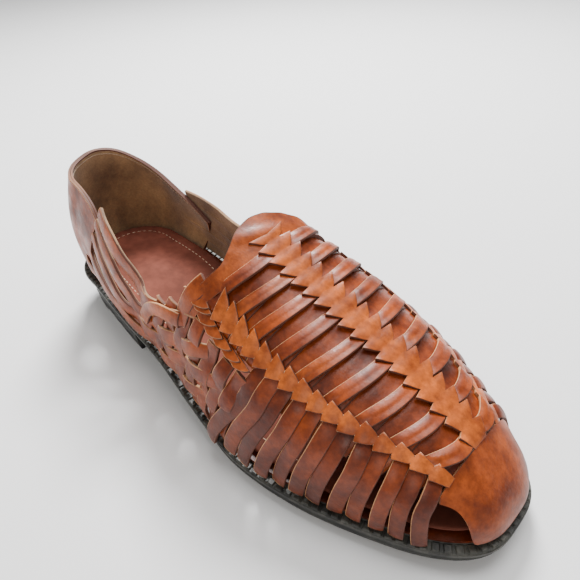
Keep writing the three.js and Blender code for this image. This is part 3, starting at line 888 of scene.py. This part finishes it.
def counter_bands():
    made = []
    for start, end in BAND_ENDS:
        for low, high in BANDS:
            piece = flat_cut("counter_band", 22, 3)

            def place(t, b):
                at = mix(start, end, t)
                shade = 0.05 * t * (1 - low)
                level = mix(low, high, (b + 1) / 2)
                rise = 0.35 * math.sin(math.pi * clamp(t, 0.02, 0.98)) ** 0.3
                return counter_place(at, level - shade, 0.9 + rise)

            lay(piece, place)
            if start > end:
                turn_over(piece)
            leather_wall(piece, 0.9, LEATHER, LEATHER, 0.47 + random.uniform(-0.05, 0.05), 0.25, 1)
            made.append(piece)
    return made


# Straps that fan out from the counter's front, and the uprights that they interlace with.
# Columns: the strap's way as (x, v) points, its width, and how far it bows out behind the uprights
LATERAL_STRAPS = [
    ([(36, 0.35), (52, 0.305), (62, 0.245), (74, 0.185), (91, 0.21), (112, 0.32)], 8.6, 4.6),
    ([(30, 0.285), (46, 0.22), (58, 0.145), (71, 0.10), (92, 0.13), (112, 0.21), (131, 0.32)], 8.0, 4.6),
    ([(22, 0.205), (37, 0.14), (50, 0.065), (67, 0.045), (90, 0.07), (114, 0.14), (141, 0.25)], 8.0, 4.4),
    ([(10, 0.13), (24, 0.075), (40, 0.03), (61, 0.014), (88, 0.03), (114, 0.06), (140, 0.13)], 7.4, 4.2),
    ([(1, 0.07), (14, 0.05), (30, 0.02), (44, 0.008)], 6.0, 3.4),
]
MEDIAL_STRAPS = [
    ([(16, 0.17), (40, 0.175), (64, 0.185), (90, 0.235), (114, 0.36)], 9.4, 1.6),
    ([(12, 0.125), (40, 0.13), (66, 0.138), (94, 0.18), (122, 0.30)], 9.0, 1.4),
    ([(8, 0.085), (40, 0.087), (68, 0.093), (98, 0.13), (129, 0.235)], 8.6, 1.5),
    ([(5, 0.05), (36, 0.05), (68, 0.055), (102, 0.08), (134, 0.165)], 8.2, 1.3),
    ([(3, 0.02), (34, 0.02), (68, 0.02), (104, 0.035), (138, 0.095)], 7.4, 1.3),
]
# Columns: x and v of the upright's top, and x of its foot
UPRIGHTS = [(78, 0.19, 73), (92, 0.26, 84), (103, 0.33, 95), (113, 0.385, 106), (123, 0.4, 116.5),
            (133, 0.385, 126), (143, 0.385, 133), (151, 0.39, 141)]


def weave_lift(order, places, base=1.0, swing=1.35):
    """Lifts along a strip that passes over, then under, what it crosses at each place."""
    rows = [(0, base)]
    for i, t in enumerate(places):
        if 0.03 < t < 0.97:
            rows.append((t, base + (swing if (i + order) % 2 else -swing * 0.6)))
    rows.append((1, 0.4))
    return rows


def line_inside(piece, side):
    """Gives a strip's inner face the rough side's tan."""
    piece.data.materials.append(SUEDE)
    for polygon in piece.data.polygons:
        if polygon.normal.y * side < -0.25:
            polygon.material_index = 2


def straps(side):
    fan, uprights = [], []
    for i, (path, width, bow) in enumerate(LATERAL_STRAPS if side < 0 else MEDIAL_STRAPS):
        start, end = path[0][0], path[-1][0]
        crossed = UPRIGHTS if side < 0 else UPRIGHTS[3:]
        places = [(mix(top, foot, 0.5) - start) / (end - start) for top, _, foot in crossed]
        woven = weave_lift(i, places, 1.5)
        lifts = [woven[0], (0.12, mix(1.5, bow, 0.8)), (0.25, bow), (0.36, mix(bow, 2.4, 0.5))]
        lifts += [row for row in woven[1:] if row[0] > 0.44]
        widths = [(0, width * 0.8), (0.15, width), (0.8, width * 0.95), (1, width * 0.8)]
        fan.append(strip("strap", side, path, widths, lifts, 0.5 + random.uniform(-0.07, 0.07),
                         rows=40, columns=4, thick=1.8, crown=0.5))
        line_inside(fan[-1], side)
    for j, (top, top_v, foot) in enumerate(crossed):
        path = [(top, top_v), (mix(top, foot, 0.5), top_v * 0.5), (foot, 0.004)]
        lifts = weave_lift(j + 1, [0.22, 0.48, 0.7, 0.86], 1.2)
        uprights.append(strip("upright", side, path, [(0, 7), (0.3, 8.2), (1, 7)], lifts,
                              0.42 + random.uniform(-0.1, 0.08), rows=20, columns=4, crown=0.4))
    loop = [(75, 0.10), (84, 0.18), (95, 0.245), (104, 0.28), (110, 0.3)]
    uprights.append(strip("loop", side, loop, [(0, 7), (0.5, 6), (1, 7)], [(0, 3.2), (0.5, 4.6), (1, 2.6)],
                          0.64, rows=16, columns=4, crown=0.6))
    bridge = [(119, 0.56), (114, 0.44), (109, 0.28)]
    uprights.append(strip("bridge", side, bridge, [(0, 9), (1, 8)], [(0, 1.2), (0.5, 2.0), (1, 1.0)], 0.6,
                          rows=10, columns=4, crown=0.5))
    return fan, uprights


# Closed solids of the sole: a section's profile is walked round, from the top's middle and back to it
def walked(name, profile, start, end, along, finish):
    """Profile rows: inset from the outline and height at x, from the top's middle down to the tread's."""
    loop = [(-1, *row) for row in profile] + [(1, *row) for row in reversed(profile)]
    loop.append(loop[0])
    piece = flat_cut(name, along, len(loop) - 1)
    steps = len(loop) - 1

    def place(t, b):
        s = mix(start, end, t)
        side, inset, height = loop[round((b + 1) / 2 * steps)]
        x, y = outline(s, side, inset)
        return Vector((x, y, height(x)))

    lay(piece, place)
    merge_points(piece)
    set_finish(piece, finish)
    return piece


def outsole():
    def seat(x):
        return welt_top(x) - 3.2

    def mid(share):
        return lambda x: mix(seat(x), tread_z(x), share)

    profile = [(30, seat), (16, seat), (4, seat), (1.5, seat), (1.2, mid(0.08)), (1.3, mid(0.3)),
               (1.35, mid(0.34)), (1.0, mid(0.4)), (1.0, mid(0.5)), (1.6, mid(0.7)), (2.4, mid(0.93)),
               (3.2, tread_z), (16, tread_z), (30, tread_z)]
    piece = walked("outsole_rubber", profile, -HEEL_TURN, TOE_END, 120, RUBBER)
    modify(piece, "SUBSURF", levels=1, render_levels=1)
    pick(piece)
    bpy.ops.object.shade_smooth_by_angle(angle=math.radians(35))
    return piece


def heel_block():
    def share(amount):
        return lambda x: mix(tread_z(x) - 0.3, 0, amount)

    profile = [(30, share(0)), (3.4, share(0)), (3.2, share(0.04)), (3.6, share(0.3)), (3.9, share(0.33)),
               (3.6, share(0.36)), (4.4, share(0.66)), (4.7, share(0.69)), (4.4, share(0.72)),
               (5.2, share(0.96)), (5.8, share(1)), (30, share(1))]
    piece = walked("heel_block", profile, -HEEL_TURN, 47, 60, RUBBER)
    pick(piece)
    bpy.ops.object.mode_set(mode="EDIT")
    bpy.ops.mesh.select_all(action="DESELECT")
    bpy.ops.mesh.select_non_manifold()
    bpy.ops.mesh.fill()
    bpy.ops.mesh.select_all(action="SELECT")
    bpy.ops.mesh.normals_make_consistent(inside=False)
    bpy.ops.object.mode_set(mode="OBJECT")
    bpy.ops.object.shade_smooth_by_angle(angle=math.radians(30))
    return piece


def insole_sheet():
    def top(rise):
        return lambda x: welt_top(x) + rise

    profile = [(30, top(4.4)), (22, top(4.5)), (14, top(4.8)), (9.5, top(5.0)), (8.2, top(4.9)),
               (7.6, top(4.2)), (7.6, top(2.0)), (30, top(2.0))]
    piece = walked("insole_sheet", profile, -HEEL_TURN, TOE_END, 110, INSOLE)
    modify(piece, "SUBSURF", levels=1, render_levels=1)
    pick(piece)
    bpy.ops.object.shade_smooth()
    return piece


# Around the outline: ring stations, blocks and stitches
def ring_length(inset):
    """Points round the outline, from the heel's back along the lateral side: (length so far, x, y)."""
    steps = 400
    stations = [(mix(-HEEL_TURN, TOE_END, i / steps), -1) for i in range(steps + 1)]
    stations += [(mix(TOE_END, -HEEL_TURN, i / steps), 1) for i in range(1, steps + 1)]
    total, rows = 0, []
    before = None
    for s, side in stations:
        x, y = outline(s, side, inset)
        if before:
            total += math.hypot(x - before[0], y - before[1])
        rows.append((total, x, y))
        before = (x, y)
    return rows


def along_ring(rows, length):
    """Point on the ring and its direction, after that length."""
    i = 1
    while i < len(rows) - 1 and rows[i][0] < length:
        i += 1
    (l0, x0, y0), (l1, x1, y1) = rows[i - 1], rows[i]
    t = (length - l0) / max(l1 - l0, 1e-6)
    return mix(x0, x1, t), mix(y0, y1, t), math.atan2(y1 - y0, x1 - x0)


def ring_band(name, count, profile, finish):
    """Closed band round the outline. Profile rows: inset from the outline and height above the welt's top."""
    rows = ring_length(0)
    piece = flat_cut(name, count, len(profile) - 1)

    def place(t, b):
        inset, rise = profile[round((b + 1) / 2 * (len(profile) - 1))]
        x, y, turn = along_ring(rows, t * rows[-1][0])
        px, py = x - math.sin(turn) * inset, y + math.cos(turn) * inset
        return Vector((px, py, welt_top(px) + rise))

    lay(piece, place)
    merge_points(piece)
    set_finish(piece, finish)
    return piece


def welt_rim():
    profile = [(12, 0), (5.2, 0), (4.4, -0.9), (0.6, -1.0), (0.05, -1.5), (0.0, -2.6), (0.5, -3.0),
               (12, -3.0), (12, 0)]
    piece = ring_band("welt_rim", 260, profile, WELT)
    pick(piece)
    bpy.ops.object.shade_smooth_by_angle(angle=math.radians(35))
    return piece


def lasting_margin():
    """Turned-in edge of the upper, which shows as a thin brown line in the open gaps."""
    profile = [(4.4, 0.3), (4.4, 1.6), (11, 1.6), (11, 0.3), (4.4, 0.3)]
    piece = ring_band("lasting_margin", 200, profile, LEATHER)
    give_tone(piece, 0.15)
    return piece


def copy_of(piece, finish):
    copy = piece.copy()
    copy.data = piece.data.copy()
    bpy.context.collection.objects.link(copy)
    copy.data.materials.append(finish)
    return copy


BLOCK_PITCH = 4.5
BLOCK = (3.3, 3.7, 1.2)


def welt_blocks():
    """Notched top edge of the welt: one bevelled block, copied round the rim."""
    rows = ring_length(2.4)
    deselect()
    bpy.ops.mesh.primitive_cube_add(size=1)
    block = bpy.context.object
    for vertex in block.data.vertices:
        vertex.co = Vector([c * size for c, size in zip(vertex.co, BLOCK)]) * MM
    modify(block, "BEVEL", width=0.4 * MM, segments=1)
    count = round(rows[-1][0] / BLOCK_PITCH)
    copies = []
    for i in range(count):
        x, y, turn = along_ring(rows, rows[-1][0] * (i + 0.5) / count)
        copy = copy_of(block, WELT)
        slope = (welt_top(x + 1) - welt_top(x - 1)) / 2 * math.cos(turn)
        turned = Matrix.Rotation(turn, 4, "Z") @ Matrix.Rotation(-math.atan(slope), 4, "Y")
        grow = Matrix.Diagonal((random.uniform(0.92, 1.05), 1, random.uniform(0.85, 1.1), 1))
        copy.data.transform(Matrix.Translation(Vector((x, y, welt_top(x) - 0.75)) * MM) @ turned @ grow)
        copies.append(copy)
    bpy.data.objects.remove(block)
    return copies


def stitches(places, length, thick, name):
    """Short raised stitches, copies of one: places are (point, direction, up)."""
    deselect()
    bpy.ops.mesh.primitive_uv_sphere_add(segments=8, ring_count=6, radius=0.5)
    one = bpy.context.object
    for vertex in one.data.vertices:
        vertex.co = Vector((vertex.co.x * length, vertex.co.y * thick, vertex.co.z * thick * 0.7)) * MM
    copies = []
    for at, direction, up in places:
        copy = copy_of(one, THREAD)
        copy.name = name
        across = up.cross(direction).normalized()
        lifted = direction.cross(across).normalized()
        basis = Matrix((direction.normalized(), across, lifted)).transposed().to_4x4()
        copy.data.transform(Matrix.Translation(at * MM) @ basis)
        for polygon in copy.data.polygons:
            polygon.use_smooth = True
        copies.append(copy)
    bpy.data.objects.remove(one)
    return copies


STITCH_INSET = 14.5
STITCH_PITCH = 3.6
STITCH_END_X = 190
RIM_STITCHES = 88
RIM_LEVEL = 0.955
RIM_DEPTH = -1.35


def insole_stitches():
    """Stitch line inside the insole's edge, as far forward as it shows through the upper."""
    rows = ring_length(STITCH_INSET)
    count = round(rows[-1][0] / STITCH_PITCH)
    places = []
    for i in range(count):
        x, y, turn = along_ring(rows, rows[-1][0] * (i + 0.5) / count)
        if x > STITCH_END_X:
            continue
        slope = (welt_top(x + 1) - welt_top(x - 1)) / 2
        direction = Vector((math.cos(turn), math.sin(turn), slope * math.cos(turn)))
        places.append((Vector((x, y, welt_top(x) + 4.75)), direction, Vector((0, 0, 1))))
    return stitches(places, 2.5, 0.55, "insole_stitch")


def rim_stitches():
    """Stitch line inside the counter's rim."""
    places = []
    for i in range(RIM_STITCHES):
        t = mix(0.015, 0.985, i / (RIM_STITCHES - 1))
        at = counter_place(t, RIM_LEVEL, RIM_DEPTH)
        ahead = counter_place(min(t + 0.004, 1), RIM_LEVEL, RIM_DEPTH)
        behind = counter_place(max(t - 0.004, 0), RIM_LEVEL, RIM_DEPTH)
        centre = Vector((10, 0, at.z))
        places.append((at, ahead - behind, (centre - at).normalized()))
    return stitches(places, 1.9, 0.5, "rim_stitch")


def build_upper():
    weave_top, weave_under, side_row, fan, uprights = [], [], [], [], []
    for side in (-1, 1):
        tops, unders = vamp_strips(side)
        weave_top += tops
        weave_under += unders
        side_row += side_strips(side)
        strap_set, upright_set = straps(side)
        fan += strap_set
        uprights += upright_set
    spines = [ridge_spine()]
    for side in (-1, 1):
        spines.append(side_spine(side))
        spines += chain(side)
    join("vamp_top_strips", weave_top, "upper_leather", "upper")
    join("vamp_under_strips", weave_under, "upper_leather")
    join("side_strips", side_row, "upper_leather")
    join("spines", spines, "upper_leather")
    join("straps", fan, "upper_leather")
    join("strap_uprights", uprights, "upper_leather")
    join("throat_tab", [throat_tab()], "upper_leather")
    join("toe_cap", [toe_cap()], "upper_leather")
    join("counter", [counter_shell("counter", 0.2, 1.3, LEATHER, EDGE, 0.45)], "upper_leather")
    join("counter_lining", [counter_shell("counter_lining", -1.1, 1.1, SUEDE, EDGE, 0.5)], "upper_leather")
    join("counter_bands", counter_bands(), "upper_leather")
    join("lasting_margin", [lasting_margin()], "upper_leather")
    join("rim_stitches", rim_stitches(), "upper_leather")


def build_sole():
    join("outsole_rubber", [outsole()], "sole_rubber", "outsole")
    join("heel_block", [heel_block()], "sole_rubber", "heel")
    join("welt_rim", [welt_rim()], "welt_rubber", "welt")
    join("welt_blocks", welt_blocks(), "welt_rubber")
    join("insole_sheet", [insole_sheet()], "insole_leather", "insole")
    join("insole_stitches", insole_stitches(), "insole_leather")


# Camera: the photo's close viewpoint in front of the sandal's lateral side
CAMERA_AT = (282.6, -143.9, 220.8)
CAMERA_AZIMUTH = 45.59
CAMERA_ELEVATION = 37.09
CAMERA_ROLL = -3.31
FOCAL_PIXELS = 552.6
PHOTO_PIXELS = 580
SENSOR = 36


def place_camera():
    azimuth, elevation, roll = (math.radians(a) for a in (CAMERA_AZIMUTH, CAMERA_ELEVATION, CAMERA_ROLL))
    back = Vector((math.sin(azimuth) * math.cos(elevation), -math.cos(azimuth) * math.cos(elevation),
                   math.sin(elevation)))
    right = (-back).cross(Vector((0, 0, 1))).normalized()
    up = right.cross(-back)
    turned_right = right * math.cos(roll) + up * math.sin(roll)
    turned_up = up * math.cos(roll) - right * math.sin(roll)
    data = bpy.data.cameras.new("photo_camera")
    data.sensor_width = SENSOR
    data.lens = FOCAL_PIXELS / PHOTO_PIXELS * SENSOR
    data.clip_start = 0.01
    camera = bpy.data.objects.new("photo_camera", data)
    bpy.context.collection.objects.link(camera)
    turn = Matrix((turned_right, turned_up, back)).transposed().to_4x4()
    camera.matrix_world = Matrix.Translation(Vector(CAMERA_AT) * MM) @ turn
    bpy.context.scene.camera = camera


def place_light(name, at, size, power, target=(0.12, 0, 0.04), colour=(1, 1, 1)):
    data = bpy.data.lights.new(name, "AREA")
    data.shape = "DISK"
    data.size = size
    data.energy = power
    data.color = colour
    light = bpy.data.objects.new(name, data)
    bpy.context.collection.objects.link(light)
    light.location = at
    light.rotation_euler = (Vector(target) - Vector(at)).to_track_quat("-Z", "Y").to_euler()


def place_studio():
    deselect()
    bpy.ops.mesh.primitive_plane_add(size=6)
    floor = bpy.context.object
    floor.name = "studio_floor"
    material, shader = new_material("pale_floor", 0.8)
    shader.inputs["Base Color"].default_value = (0.86, 0.86, 0.86, 1)
    floor.data.materials.append(material)
    world = bpy.data.worlds.new("soft_studio")
    world.use_nodes = True
    world.node_tree.nodes["Background"].inputs["Color"].default_value = (1, 1, 1, 1)
    world.node_tree.nodes["Background"].inputs["Strength"].default_value = 0.42
    bpy.context.scene.world = world
    place_light("window_light", (-0.4, 0.6, 0.95), 0.4, 34)
    place_light("top_light", (0.15, 0.25, 1.3), 0.8, 12)
    place_light("front_fill", (0.7, -0.9, 0.8), 0.5, 3.5,
                colour=(1, 0.93, 0.85))


place_camera()
place_studio()
build_sole()
build_upper()
